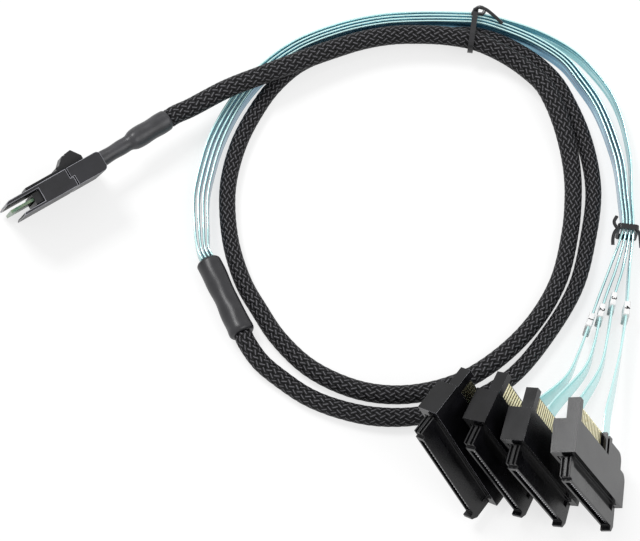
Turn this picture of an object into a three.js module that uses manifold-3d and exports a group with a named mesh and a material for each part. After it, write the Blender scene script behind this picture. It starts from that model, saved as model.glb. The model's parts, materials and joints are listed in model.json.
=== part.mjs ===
// A breakout cable: one wide host plug, a braided sleeve laid in a loop, and four flat data
// ribbons that end in four drive receptacles. Millimetres, +Z up, lying on the plane z = 0.
import * as THREE from "three";
import { mergeVertices } from "three/addons/utils/BufferGeometryUtils.js";
import Module from "manifold-3d";

const wasm = await Module();
wasm.setup();

// Clearances
const FIT = 0.3;               // between a piece and what holds it
const PAD_GAP = 0.1;           // between a contact and the tongue under it

// Host plug: length runs from the tip of the upper jaw to the rear face
const PLUG_LENGTH = 32;
const PLUG_THICK = 6.3;
const PLUG_WIDTH = 22.6;
const PLUG_WALL = 1.2;
const JAW_LENGTH = 10.7;
const UPPER_JAW_THICK = 1.1;
const LOWER_JAW_THICK = 0.9;
const LOWER_JAW_SETBACK = 2.9;
const SHELL_SEAM = 20.5;       // where the front shell meets the rear shell
const SEAM_JOG = 1.1;
const SEAM_GROOVE = 0.4;
const PLUG_CORNER = 1.4;
const CARD_THICK = 0.9;
const CARD_WIDTH = 16.6;
const CARD_LENGTH = 19;
const CARD_SETBACK = 0.6;
const HOLDER_LENGTH = 10;
const HOLDER_SETBACK = 8.2;
const LATCH_WIDTH = 11;
const LATCH_START = 8;
const LATCH_THICK = 0.8;
const LATCH_RECESS = 0.8;      // sunk into the front shell under the spring leaf
const TAB_RECESS = 1.7;        // sunk into the rear shell under the thumb tab
const TAB_START = 19;
const TAB_END = 27.8;
const TAB_HEIGHT = 3.4;
const CABLE_EXIT_RADIUS = 1.9;

// Boot, braided sleeve, breakout shrink tube
const BOOT_NECK_RADIUS = 2.4;
const BOOT_RADIUS = 3.35;
const SLEEVE_WIDTH = 5.4;
const SLEEVE_HEIGHT = 5.4;
const SLEEVE_STEPS = 96;
const SHRINK_RADIUS = 4;
const SHRINK_WAIST = 3.75;
const LEAD = 3;                // straight way out of a boot or tube

// Flat ribbons, standing on edge side by side
const RIBBON_WIDTH = 5.6;
const RIBBON_THICK = 0.8;
const RIBBON_PITCH = 1.1;
const RIBBON_STEPS = 62;
const RIBBON_COUNT = 4;
const LABEL_LENGTH = 4.4;
const LABEL_WALL = 0.25;

// Wire ties
const TIE_WIDTH = 1.7;
const TIE_THICK = 0.8;
const TIE_SLACK = 0.35;
const TAIL_RADIUS = 0.55;

// Drive receptacle: x from its far end, y from its rear face, z from its left face
const HOUSING_LENGTH = 43;
const HOUSING_DEPTH = 10;
const HOUSING_THICK = 7.1;
const HOUSING_WALL = 0.9;
const END_WALL = 2.8;
const REAR_WALL = 2;
const HOUSING_CORNER = 2.5;
const HUMP_START = 4.5;
const HUMP_LENGTH = 10.2;
const HUMP_HEIGHT = 4.6;
const POST_HEIGHT = 6.2;
const POST_WIDTH = 2.4;
const POST_THICK = 3.6;
const KEY_POST_WIDTH = 1.2;
const KEY_POST_START = 17.6;
const TONGUE_START = 19.2;
const TONGUE_LENGTH = 20.6;
const TONGUE_HEIGHT = 5.7;
const TONGUE_THICK = 1;
const TONGUE_LIFT = 4.6;
const PIN_COUNT = 15;
const PIN_PITCH = 1.27;
const PIN_WIDTH = 0.84;
const PIN_THICK = 0.25;
const PIN_HEIGHT = 5.2;
const NOSE_INSET = 3.85;
const NOSE_DEPTH = 6.8;
const NOSE_THICK = 3;
const NOSE_LIFT = 2.5;
const NECK_DEPTH = 2.4;
const NECK_THICK = 1.8;
const FLANGE_DEPTH = 1.3;
const SLOT_INSET = 1.4;
const SLOT_DEPTH = 5.4;
const SLOT_THICK = 1.7;
const GUIDE_LENGTH = 1.9;
const GUIDE_TIP = 1.4;
const CONTACT_COUNT = 25;
const CONTACT_WIDTH = 0.6;
const CONTACT_THICK = 0.35;
const CONTACT_BAR = 0.8;
const BOARD_LENGTH = 32;
const BOARD_THICK = 1.2;
const RELIEF_LENGTH = 7;
const RELIEF_THICK = 3.2;
const RELIEF_OUT = 1;

// Where the rigid pieces lie: position, heading and lean in degrees
const PLUG_PLACE = { at: [-92.1, 39.4, 0], heading: 33.5, lean: 25 };
const DRIVE_PLACES = [
  { at: [54.7, -39.7, 0], heading: -36.7, lean: 33.2 },
  { at: [65.3, -37.7, 0], heading: -25.9, lean: 29.4 },
  { at: [73.5, -39.8, 0], heading: -16.3, lean: 27.1 },
  { at: [84.4, -40.8, 0], heading: -8.2, lean: 24.6 },
];
const BOOT_END = [-43.9, 71.8, 10.3];
const SHRINK_ENDS = [[-19.9, 2.1, 4.3], [-30.7, 25.9, 4.4]];

// From the layout's own zero to the middle of the box round the plug and the receptacles
const ORIGIN_SHIFT = [2.243, -0.984, 0];

// The sleeve's route: over the crossing, then twice round the loop
const SLEEVE_ROUTE = [
  [-37.5, 75.8, 9.9], [-26, 82.9, 9.8], [-14.5, 88.2, 9.7], [-3.3, 93.8, 8.6], [6.5, 98.2, 8],
  [15.9, 101.6, 7.9], [25.1, 103.5, 7.9], [34.6, 103.9, 7.9], [43.8, 103.2, 8], [52.3, 101.5, 7.6],
  [60.8, 97.8, 6.4], [67.3, 93.1, 5.8], [72.9, 87, 5.8], [75.9, 80.6, 5.6], [78, 74.2, 5],
  [79.4, 68.2, 4.3], [80.5, 61.5, 3.2], [80.9, 54.6, 2.7], [80.6, 47.7, 2.7], [79.3, 37.5, 2.7],
  [74.8, 20.5, 2.7], [66.5, 6.2, 2.7], [55.6, -5.1, 2.7], [44.2, -12.5, 2.7], [31.4, -16.2, 2.7],
  [20.7, -16.4, 2.7], [10.9, -14, 2.7], [-0.3, -7.9, 2.7], [-9.5, 1.6, 2.7], [-15.3, 10.9, 2.7],
  [-19.8, 19.2, 2.7], [-23.6, 31, 2.7], [-25.3, 43.4, 2.7], [-25.1, 54.6, 2.7], [-21.8, 68.7, 2.7],
  [-15.1, 82.7, 2.7], [-10.6, 89.2, 2.7], [-4.6, 95.3, 2.7], [2, 99.3, 2.7], [9.4, 102.5, 2.7],
  [17.7, 105.1, 2.7], [26.3, 106.5, 2.7], [34.9, 106.7, 2.7], [43.5, 106.5, 3.2],
  [51.5, 106.1, 3.9], [59.4, 104.1, 3.3], [65.3, 101.2, 2.7], [71.4, 96.5, 2.7], [77.2, 89.5, 2.7],
  [81.4, 80.2, 2.7], [84.4, 71.2, 2.7], [86.2, 62.6, 2.7], [87, 54.6, 2.7], [86.8, 47.7, 2.7],
  [84.9, 36.5, 2.7], [80.1, 18.9, 2.7], [70.8, 2.9, 2.7], [59.4, -10.8, 2.7], [46.3, -19, 2.7],
  [31.9, -23.2, 2.7], [19.6, -23.5, 2.7], [8.5, -21.1, 2.7], [-0.5, -17.3, 2.7],
  [-7.8, -12.2, 2.8], [-14.5, -6.5, 3.4],
];

// The middle of the four ribbons, from the shrink tube to the right-hand tie, with how far
// the four are spread at each point and how far the outermost stands off from the rest
const STACK_ROUTE = [
  [-32.9, 35.6, 3.2, 1.2, 0], [-33.4, 47.6, 2.9, 1.3, 0], [-32.5, 54.5, 2.9, 1.3, 0],
  [-29, 68.6, 2.9, 1.3, 0], [-22.3, 82.9, 2.9, 1.1, 0], [-14, 93.6, 2.9, 1, 0],
  [-4, 101.9, 2.9, 1, 0], [9.7, 108.1, 2.9, 1, 0], [22.7, 111.3, 2.9, 1, 0], [35, 112.1, 3, 1, 0],
  [47.6, 111.6, 3.6, 1, 0], [53.8, 110.9, 4, 1, 0], [60.5, 109.1, 3.3, 1, 0.4],
  [71.4, 104, 2.9, 1, 1.4], [80.6, 96.8, 2.9, 1, 2.3], [85.7, 89.3, 2.9, 1.1, 3],
  [89.9, 81.7, 2.9, 1.1, 3.2], [92.6, 74.3, 2.9, 1.1, 2.8], [94.5, 67, 2.9, 1.1, 2],
  [95.9, 59.9, 2.9, 1.1, 1.1], [96.4, 47.6, 3.3, 1, 0.2], [96.2, 36, 4.1, 1, 0],
];

// Each ribbon's own way from that tie to its receptacle; its label sits at the third point
const RIBBON_TAILS = [
  [[90, 23.4, 3.6], [85.9, 13.1, 4.6], [82.6, 4.3, 6], [79, -5.2, 7], [74.7, -14.2, 8]],
  [[92, 23.4, 3.6], [88.5, 14.4, 4.6], [86.2, 7.6, 5.6], [83.9, -1.8, 6.6], [80.7, -10.8, 7.5]],
  [[94, 23.4, 3.6], [91.9, 17.2, 4.2], [90.1, 11.6, 5], [88, 1.2, 6.2], [84.8, -11.3, 7.5]],
  [[96, 23.4, 3.6], [95, 15.9, 4.2], [93.9, 8.6, 5], [91.9, -2.2, 6], [88.9, -14.6, 7.8]],
];
const LABEL_POINT = 2;

// The ties' planes across the bundle, and the twisted ends of each wire
const TOP_TIE = {
  at: [51.5, 106.1, 3.9],
  heading: -8.6,
  tails: [
    [[51.4, 111.7, 7], [52.3, 113, 8.3], [53.8, 113.3, 9.2], [55.2, 112.4, 9.4],
      [54.7, 111, 9], [53.3, 111.2, 8.4]],
    [[53.8, 113.1, 9.3], [55.5, 112.2, 9.7], [57.2, 110.9, 9.4], [59.1, 109.3, 8.8],
      [60.8, 107.9, 8]],
  ],
};
const RIGHT_TIE = {
  at: [96.2, 36, 4.1],
  heading: -97.5,
  tails: [
    [[93.4, 35.6, 7.6], [92.6, 35.2, 8.5], [91.7, 36.9, 9], [92.6, 38.7, 9.4]],
    [[92.8, 35, 8.7], [91.6, 33.4, 8.9], [91, 31.3, 8.8], [91, 29.7, 8]],
    [[98.4, 35.2, 7.4], [99.2, 33.4, 8.3], [99.4, 31, 8], [99.6, 29.2, 7]],
  ],
};

const group = new THREE.Group();

// Materials, one for each piece
const FINISHES = {
  blackPlastic: { color: 0x24252a, roughness: 0.5, metalness: 0 },
  greyPlastic: { color: 0x3a3b40, roughness: 0.6, metalness: 0 },
  blackRubber: { color: 0x3c3c40, roughness: 0.7, metalness: 0 },
  braid: { color: 0x17171a, roughness: 0.6, metalness: 0 },
  blueFoil: { color: 0x3f93a8, roughness: 0.35, metalness: 0.6 },
  gold: { color: 0xe6d9a0, roughness: 0.3, metalness: 1 },
  steel: { color: 0x9a9aa0, roughness: 0.35, metalness: 1 },
  board: { color: 0x3f7a68, roughness: 0.5, metalness: 0 },
  whitePaper: { color: 0xf2f2f2, roughness: 0.8, metalness: 0 },
};

function addPiece(parent, name, geometry, finish) {
  const mesh = new THREE.Mesh(geometry, new THREE.MeshStandardMaterial(FINISHES[finish]));
  mesh.name = name;
  parent.add(mesh);
  return mesh;
}

// Solids: plain boxes and outlines that are joined and cut
function toSolid(geometry) {
  const bare = geometry.clone();
  bare.deleteAttribute("normal");
  bare.deleteAttribute("uv");
  const merged = mergeVertices(bare, 1e-5);
  return new wasm.Manifold(new wasm.Mesh({
    numProp: 3,
    vertProperties: new Float32Array(merged.attributes.position.array),
    triVerts: new Uint32Array(merged.index.array),
  }));
}

function toGeometry(solid) {
  const mesh = solid.getMesh();
  const geometry = new THREE.BufferGeometry();
  geometry.setAttribute("position", new THREE.BufferAttribute(mesh.vertProperties, 3));
  geometry.setIndex(new THREE.BufferAttribute(mesh.triVerts, 1));
  geometry.computeVertexNormals();
  return geometry;
}

function slab([x0, x1], [y0, y1], [z0, z1]) {
  const geometry = new THREE.BoxGeometry(x1 - x0, y1 - y0, z1 - z0);
  geometry.translate((x0 + x1) / 2, (y0 + y1) / 2, (z0 + z1) / 2);
  return toSolid(geometry);
}

function plate(shape, [z0, z1], curveSegments = 4) {
  const geometry = new THREE.ExtrudeGeometry(shape, { depth: z1 - z0, bevelEnabled: false, curveSegments });
  geometry.translate(0, 0, z0);
  return toSolid(geometry);
}

function outline(points) {
  return new THREE.Shape(points.map(([x, y]) => new THREE.Vector2(x, y)));
}

function vector([x, y, z]) {
  return new THREE.Vector3(x, y, z);
}

// Tubes and ribbons that follow a smooth curve
function ovalSection(along, across, sides) {
  const shape = new THREE.Shape();
  for (let i = 0; i < sides; i += 1) {
    const angle = (2 * Math.PI * (i + 0.5)) / sides;
    const corner = [(along / 2) * Math.cos(angle), (across / 2) * Math.sin(angle)];
    if (i === 0) shape.moveTo(...corner);
    else shape.lineTo(...corner);
  }
  shape.closePath();
  return shape;
}

function flatSection(along, across) {
  const a = along / 2;
  const b = across / 2;
  return outline([[-a, -b], [a, -b], [a, b], [-a, b]]);
}

function sweep(section, points, steps) {
  const path = new THREE.CatmullRomCurve3(points, false, "centripetal");
  return new THREE.ExtrudeGeometry(section, { steps, extrudePath: path, bevelEnabled: false });
}

// A round piece turned about the line from one point to another
function turned(profile, start, end, segments = 20) {
  const geometry = new THREE.LatheGeometry(profile.map(([r, h]) => new THREE.Vector2(r, h)), segments);
  const axis = end.clone().sub(start).normalize();
  geometry.applyQuaternion(new THREE.Quaternion().setFromUnitVectors(new THREE.Vector3(0, 1, 0), axis));
  geometry.translate(start.x, start.y, start.z);
  return toGeometry(toSolid(geometry));
}

// Host plug. Local x runs from the jaws to the rear, y towards the latch, z across its width.
function plugFrame() {
  const frame = new THREE.Group();
  const heading = THREE.MathUtils.degToRad(PLUG_PLACE.heading);
  const lean = THREE.MathUtils.degToRad(PLUG_PLACE.lean);
  frame.position.copy(vector(PLUG_PLACE.at));
  frame.rotation.order = "ZXY";
  frame.rotation.z = heading;
  frame.rotation.x = lean;
  group.add(frame);
  frame.updateMatrixWorld(true);
  return frame;
}

const latchMiddle = PLUG_WIDTH / 2;
const latchSpan = [latchMiddle - LATCH_WIDTH / 2, latchMiddle + LATCH_WIDTH / 2];
const recessSpan = [latchSpan[0] - FIT, latchSpan[1] + FIT];
const cavitySpan = [PLUG_WALL, PLUG_WIDTH - PLUG_WALL];
const plugMiddle = PLUG_THICK / 2;

function frontShell() {
  const jogged = plate(outline([
    [JAW_LENGTH, 0], [SHELL_SEAM + SEAM_JOG, 0], [SHELL_SEAM + SEAM_JOG, plugMiddle],
    [SHELL_SEAM, plugMiddle], [SHELL_SEAM, PLUG_THICK], [JAW_LENGTH, PLUG_THICK],
  ]), [0, PLUG_WIDTH]);
  const upperJaw = plate(outline([
    [0, PLUG_THICK - UPPER_JAW_THICK], [JAW_LENGTH + PLUG_WALL, PLUG_THICK - UPPER_JAW_THICK],
    [JAW_LENGTH + PLUG_WALL, PLUG_THICK], [UPPER_JAW_THICK, PLUG_THICK],
    [0, PLUG_THICK - UPPER_JAW_THICK / 2],
  ]), [0, PLUG_WIDTH]);
  const lowerJaw = plate(outline([
    [LOWER_JAW_SETBACK, 0], [JAW_LENGTH + PLUG_WALL, 0], [JAW_LENGTH + PLUG_WALL, LOWER_JAW_THICK],
    [LOWER_JAW_SETBACK + LOWER_JAW_THICK, LOWER_JAW_THICK],
  ]), [0, PLUG_WIDTH]);
  const cavity = slab(
    [JAW_LENGTH - 1, SHELL_SEAM + SEAM_JOG + 1],
    [LOWER_JAW_THICK, PLUG_THICK - LATCH_RECESS - LOWER_JAW_THICK / 2],
    cavitySpan,
  );
  const recess = slab(
    [JAW_LENGTH, SHELL_SEAM + 1],
    [PLUG_THICK - LATCH_RECESS, PLUG_THICK + 1],
    recessSpan,
  );
  return toGeometry(jogged.subtract(cavity).add(upperJaw).add(lowerJaw).subtract(recess));
}

function rearShell() {
  const start = SHELL_SEAM + SEAM_GROOVE;
  const r = PLUG_CORNER;
  const shape = new THREE.Shape();
  shape.moveTo(start + SEAM_JOG, 0);
  shape.lineTo(PLUG_LENGTH - r, 0);
  shape.absarc(PLUG_LENGTH - r, r, r, -Math.PI / 2, 0, false);
  shape.lineTo(PLUG_LENGTH, PLUG_THICK - r);
  shape.absarc(PLUG_LENGTH - r, PLUG_THICK - r, r, 0, Math.PI / 2, false);
  shape.lineTo(start, PLUG_THICK);
  shape.lineTo(start, plugMiddle);
  shape.lineTo(start + SEAM_JOG, plugMiddle);
  shape.closePath();
  const body = plate(shape, [0, PLUG_WIDTH]);
  const cavity = slab(
    [start - 1, PLUG_LENGTH - PLUG_WALL],
    [LOWER_JAW_THICK, PLUG_THICK - TAB_RECESS - LOWER_JAW_THICK],
    cavitySpan,
  );
  const recess = slab([start - 1, TAB_END + FIT], [PLUG_THICK - TAB_RECESS, PLUG_THICK + 1], recessSpan);
  const exit = new THREE.CylinderGeometry(CABLE_EXIT_RADIUS, CABLE_EXIT_RADIUS, 2 * PLUG_WALL + 1, 16);
  exit.rotateZ(Math.PI / 2);
  exit.translate(PLUG_LENGTH, plugMiddle, latchMiddle);
  return toGeometry(body.subtract(cavity).subtract(recess).subtract(toSolid(exit)));
}

const cardY = [plugMiddle - CARD_THICK / 2, plugMiddle + CARD_THICK / 2];
const cardZ = [(PLUG_WIDTH - CARD_WIDTH) / 2, (PLUG_WIDTH + CARD_WIDTH) / 2];

function paddleCard() {
  return toGeometry(slab([CARD_SETBACK, CARD_SETBACK + CARD_LENGTH], cardY, cardZ));
}

function cardHolder() {
  const block = slab(
    [HOLDER_SETBACK, HOLDER_SETBACK + HOLDER_LENGTH],
    [LOWER_JAW_THICK + FIT, PLUG_THICK - LATCH_RECESS - LOWER_JAW_THICK / 2 - FIT],
    [cavitySpan[0] + FIT, cavitySpan[1] - FIT],
  );
  const slot = slab(
    [HOLDER_SETBACK - 1, HOLDER_SETBACK + HOLDER_LENGTH + 1],
    [cardY[0] - FIT, cardY[1] + FIT],
    [cardZ[0] - FIT, cardZ[1] + FIT],
  );
  return toGeometry(block.subtract(slot));
}

function latch() {
  const low = PLUG_THICK + FIT;
  const high = low + LATCH_THICK;
  const top = high + TAB_HEIGHT;
  const grip = (TAB_END - TAB_START) / 4;
  return toGeometry(plate(outline([
    [LATCH_START, low], [TAB_END, low], [TAB_END, high + 0.4], [TAB_END - grip, top],
    [TAB_END - 2 * grip, top - 0.3], [TAB_END - 2 * grip, top - 0.8], [TAB_END - 2.4 * grip, top - 0.4],
    [TAB_START + 0.6 * grip, high + 0.9], [TAB_START, high + 0.7], [TAB_START, high],
    [LATCH_START, high],
  ]), latchSpan));
}

const plug = plugFrame();
addPiece(plug, "host_front_shell", frontShell(), "greyPlastic");
addPiece(plug, "host_rear_shell", rearShell(), "greyPlastic");
addPiece(plug, "host_paddle_card", paddleCard(), "board");
addPiece(plug, "host_card_holder", cardHolder(), "blackPlastic");
addPiece(plug, "host_latch", latch(), "blackPlastic");

// Boot: two layers of shrink tube, the outer one ending half way
const plugExit = plug.localToWorld(new THREE.Vector3(PLUG_LENGTH, plugMiddle, latchMiddle));
const bootEnd = vector(BOOT_END);
const bootAxis = bootEnd.clone().sub(plugExit).normalize();
const bootStart = plugExit.clone().addScaledVector(bootAxis, 2 * FIT);
const bootLength = bootStart.distanceTo(bootEnd);
addPiece(group, "cable_boot", turned([
  [0, 0], [BOOT_NECK_RADIUS, 0], [BOOT_NECK_RADIUS, 0.4 * bootLength],
  [BOOT_RADIUS - 0.3, 0.5 * bootLength], [BOOT_RADIUS, 0.55 * bootLength], [BOOT_RADIUS, bootLength],
  [0, bootLength],
], bootStart, bootEnd), "blackRubber");

// Sleeve: from the boot to the shrink tube
const [shrinkStart, shrinkEnd] = SHRINK_ENDS.map(vector);
const shrinkAxis = shrinkEnd.clone().sub(shrinkStart).normalize();
const sleevePoints = [
  bootEnd.clone().addScaledVector(bootAxis, FIT),
  bootEnd.clone().addScaledVector(bootAxis, LEAD),
  ...SLEEVE_ROUTE.map(vector),
  shrinkStart.clone().addScaledVector(shrinkAxis, -LEAD),
  shrinkStart.clone().addScaledVector(shrinkAxis, -FIT),
];
addPiece(group, "braided_sleeve",
  sweep(ovalSection(SLEEVE_HEIGHT, SLEEVE_WIDTH, 10), sleevePoints, SLEEVE_STEPS), "braid");

// Breakout: a waisted shrink tube where the ribbons leave the sleeve
const shrinkLength = shrinkStart.distanceTo(shrinkEnd);
addPiece(group, "breakout_shrink_tube", turned([
  [0, 0], [SHRINK_RADIUS, 0], [SHRINK_RADIUS, 0.12 * shrinkLength], [SHRINK_WAIST, 0.4 * shrinkLength],
  [SHRINK_RADIUS, 0.75 * shrinkLength], [SHRINK_RADIUS, shrinkLength], [0, shrinkLength],
], shrinkStart, shrinkEnd), "blackRubber");

// Drive receptacles. Local x runs from the far end up to the near end, y from the rear face
// towards the drive, z from the left face to the broad right face.
function driveFrame({ at, heading, lean }) {
  const frame = new THREE.Group();
  const yaw = THREE.MathUtils.degToRad(heading);
  const tilt = THREE.MathUtils.degToRad(lean);
  const mating = new THREE.Vector3(Math.sin(yaw), -Math.cos(yaw), 0);
  const sideways = new THREE.Vector3(-mating.y, mating.x, 0);
  const rising = sideways.clone().multiplyScalar(-Math.sin(tilt)).setZ(Math.cos(tilt));
  const facing = rising.clone().cross(mating);
  frame.setRotationFromMatrix(new THREE.Matrix4().makeBasis(rising, mating, facing));
  frame.position.copy(vector(at));
  group.add(frame);
  frame.updateMatrixWorld(true);
  return frame;
}

const reliefMiddle = HUMP_START + HUMP_LENGTH / 2;
const thickMiddle = HOUSING_THICK / 2;
const innerZ = [HOUSING_WALL, HOUSING_THICK - HOUSING_WALL];
const tongueZ = [TONGUE_LIFT, TONGUE_LIFT + TONGUE_THICK];
const pinZ = [tongueZ[1] + PAD_GAP, tongueZ[1] + PAD_GAP + PIN_THICK];
const tongueX = [TONGUE_START, TONGUE_START + TONGUE_LENGTH];
const innerX = [END_WALL, HOUSING_LENGTH - END_WALL];

function housing() {
  const r = HOUSING_CORNER;
  const humpEnd = HUMP_START + HUMP_LENGTH;
  const shape = new THREE.Shape();
  shape.moveTo(0, HOUSING_DEPTH);
  shape.lineTo(0, r);
  shape.absarc(r, r, r, Math.PI, 1.5 * Math.PI, false);
  shape.lineTo(HUMP_START, 0);
  shape.lineTo(HUMP_START, r - HUMP_HEIGHT);
  shape.absarc(HUMP_START + r, r - HUMP_HEIGHT, r, Math.PI, 1.5 * Math.PI, false);
  shape.lineTo(humpEnd, -HUMP_HEIGHT);
  shape.lineTo(humpEnd, 0);
  shape.lineTo(HOUSING_LENGTH, 0);
  shape.lineTo(HOUSING_LENGTH, HOUSING_DEPTH);
  shape.closePath();
  const postZ = [HOUSING_THICK - POST_THICK, HOUSING_THICK];
  const endPost = slab([HOUSING_LENGTH - FIT - POST_WIDTH, HOUSING_LENGTH - FIT], [-POST_HEIGHT, 1], postZ);
  const keyPost = slab([KEY_POST_START, KEY_POST_START + KEY_POST_WIDTH], [-TONGUE_HEIGHT, 1], postZ);
  const humpPost = slab([humpEnd - 1, humpEnd + KEY_POST_WIDTH], [-TONGUE_HEIGHT, 1], postZ);
  const cavity = slab(innerX, [REAR_WALL, HOUSING_DEPTH + 1], innerZ);
  const cableWay = slab(
    [reliefMiddle - RELIEF_LENGTH / 2 - FIT, reliefMiddle + RELIEF_LENGTH / 2 + FIT],
    [-HUMP_HEIGHT - 2, REAR_WALL + 1],
    [thickMiddle - RELIEF_THICK / 2 - FIT, thickMiddle + RELIEF_THICK / 2 + FIT],
  );
  const tongueWay = slab(
    [tongueX[0] - FIT, tongueX[1] + FIT],
    [-1, REAR_WALL + 1],
    [tongueZ[0] - FIT, pinZ[1] + FIT],
  );
  return toGeometry(plate(shape, [0, HOUSING_THICK])
    .add(endPost).add(keyPost).add(humpPost)
    .subtract(cavity).subtract(cableWay).subtract(tongueWay));
}

const noseX = [NOSE_INSET, HOUSING_LENGTH - NOSE_INSET];
const noseZ = [NOSE_LIFT, NOSE_LIFT + NOSE_THICK];
const noseEnd = HOUSING_DEPTH + NOSE_DEPTH;
const noseMiddle = (noseZ[0] + noseZ[1]) / 2;
const slotZ = [noseMiddle - SLOT_THICK / 2, noseMiddle + SLOT_THICK / 2];
const slotX = [noseX[0] + SLOT_INSET, noseX[1] - SLOT_INSET];
const slotFloor = noseEnd - SLOT_DEPTH;
const flangeStart = HOUSING_DEPTH - FLANGE_DEPTH;

function receptacle() {
  const neckZ = [noseMiddle - NECK_THICK / 2, noseMiddle + NECK_THICK / 2];
  const flange = slab(
    [innerX[0] + FIT, innerX[1] - FIT], [flangeStart, HOUSING_DEPTH], [innerZ[0] + FIT, innerZ[1] - FIT],
  );
  const neck = slab(noseX, [HOUSING_DEPTH - 0.5, HOUSING_DEPTH + NECK_DEPTH + 0.5], neckZ);
  const nose = slab(noseX, [HOUSING_DEPTH + NECK_DEPTH, noseEnd], noseZ);
  const nearGuide = slab(
    [noseX[1] - 0.5, noseX[1] + GUIDE_LENGTH], [HOUSING_DEPTH + FIT, noseEnd - 0.6], noseZ,
  );
  const grooves = [-1, 1].map((side) => slab(
    [noseX[1] + GUIDE_LENGTH / 2, noseX[1] + GUIDE_LENGTH + 1],
    [HOUSING_DEPTH + 0.2, noseEnd + 1],
    [noseMiddle + side * NOSE_THICK / 4 - 0.3, noseMiddle + side * NOSE_THICK / 4 + 0.3],
  ));
  const farGuide = plate(outline([
    [noseX[0] - GUIDE_LENGTH, HOUSING_DEPTH + FIT], [noseX[0] + 0.5, HOUSING_DEPTH + FIT],
    [noseX[0] + 0.5, noseEnd + GUIDE_TIP], [noseX[0] - 0.6, noseEnd + GUIDE_TIP],
    [noseX[0] - GUIDE_LENGTH, noseEnd - 0.4],
  ]), noseZ);
  const slot = slab(slotX, [slotFloor, noseEnd + 3], slotZ);
  let solid = flange.add(neck).add(nose).add(nearGuide).add(farGuide).subtract(slot);
  for (const groove of grooves) solid = solid.subtract(groove);
  return toGeometry(solid);
}

// Contacts of the slot: a row of blades on one bar against the wall on the broad side
function contactComb() {
  const z = [slotZ[1] - FIT - CONTACT_THICK, slotZ[1] - FIT];
  const bar = slab([slotX[0] + FIT, slotX[1] - FIT], [slotFloor + FIT, slotFloor + FIT + CONTACT_BAR], z);
  const pitch = (slotX[1] - slotX[0] - 2 * FIT - CONTACT_WIDTH) / (CONTACT_COUNT - 1);
  let solid = bar;
  for (let i = 0; i < CONTACT_COUNT; i += 1) {
    const x = slotX[0] + FIT + i * pitch;
    solid = solid.add(slab([x, x + CONTACT_WIDTH], [slotFloor + FIT, noseEnd - FIT], z));
  }
  return toGeometry(solid);
}

const tongueRoot = REAR_WALL + 2.4;

function powerTongue() {
  return toGeometry(slab(tongueX, [-TONGUE_HEIGHT, tongueRoot], tongueZ));
}

// Power contacts: flat pins on the tongue, joined by their carrier strip inside the housing
function powerPins() {
  const middle = (tongueX[0] + tongueX[1]) / 2;
  const first = middle - ((PIN_COUNT - 1) * PIN_PITCH + PIN_WIDTH) / 2;
  const last = first + (PIN_COUNT - 1) * PIN_PITCH + PIN_WIDTH;
  let solid = slab([first, last], [REAR_WALL + FIT, tongueRoot], pinZ);
  for (let i = 0; i < PIN_COUNT; i += 1) {
    const x = first + i * PIN_PITCH;
    solid = solid.add(slab([x, x + PIN_WIDTH], [-PIN_HEIGHT, REAR_WALL + 2 * FIT], pinZ));
  }
  return toGeometry(solid);
}

function driveBoard() {
  const start = (HOUSING_LENGTH - BOARD_LENGTH) / 2;
  const top = tongueZ[0] - FIT;
  return toGeometry(slab(
    [start, start + BOARD_LENGTH], [REAR_WALL + 2 * FIT, flangeStart - FIT], [top - BOARD_THICK, top],
  ));
}

function ribbonRelief() {
  return toGeometry(slab(
    [reliefMiddle - RELIEF_LENGTH / 2, reliefMiddle + RELIEF_LENGTH / 2],
    [-HUMP_HEIGHT - RELIEF_OUT, REAR_WALL + FIT],
    [thickMiddle - RELIEF_THICK / 2, thickMiddle + RELIEF_THICK / 2],
  ));
}

const ribbonEnds = DRIVE_PLACES.map((place, i) => {
  const frame = driveFrame(place);
  const prefix = `drive_${i + 1}`;
  addPiece(frame, `${prefix}_housing`, housing(), "blackPlastic");
  addPiece(frame, `${prefix}_receptacle`, receptacle(), "blackPlastic");
  addPiece(frame, `${prefix}_contact_comb`, contactComb(), "steel");
  addPiece(frame, `${prefix}_power_tongue`, powerTongue(), "blackPlastic");
  addPiece(frame, `${prefix}_power_pins`, powerPins(), "gold");
  addPiece(frame, `${prefix}_board`, driveBoard(), "board");
  addPiece(frame, `${prefix}_ribbon_relief`, ribbonRelief(), "blackRubber");
  const end = -HUMP_HEIGHT - RELIEF_OUT - FIT;
  return [-8, -3, 0].map((back) => (
    frame.localToWorld(new THREE.Vector3(reliefMiddle, end + back, thickMiddle))
  ));
});

// Ribbons: side by side in the stack, then each to its own receptacle, with a label sleeve
const stackMiddle = shrinkEnd.clone().addScaledVector(shrinkAxis, FIT);
const stackLead = stackMiddle.clone().addScaledVector(shrinkAxis, LEAD);
const stackPoints = [
  [...stackMiddle.toArray(), 1, 0],
  [...stackLead.toArray(), 1, 0],
  ...STACK_ROUTE,
];

function offsetStack(index) {
  return stackPoints.map(([x, y, z, spread, standOff], i) => {
    const rank = index - (RIBBON_COUNT - 1) / 2;
    const side = rank * spread * RIBBON_PITCH + (index === RIBBON_COUNT - 1 ? standOff : 0);
    const before = stackPoints[Math.max(i - 1, 0)];
    const after = stackPoints[Math.min(i + 1, stackPoints.length - 1)];
    const along = new THREE.Vector2(after[0] - before[0], after[1] - before[1]).normalize();
    if (i < 2) along.set(shrinkAxis.x, shrinkAxis.y).normalize();
    return new THREE.Vector3(x - along.y * side, y + along.x * side, z);
  });
}

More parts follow.
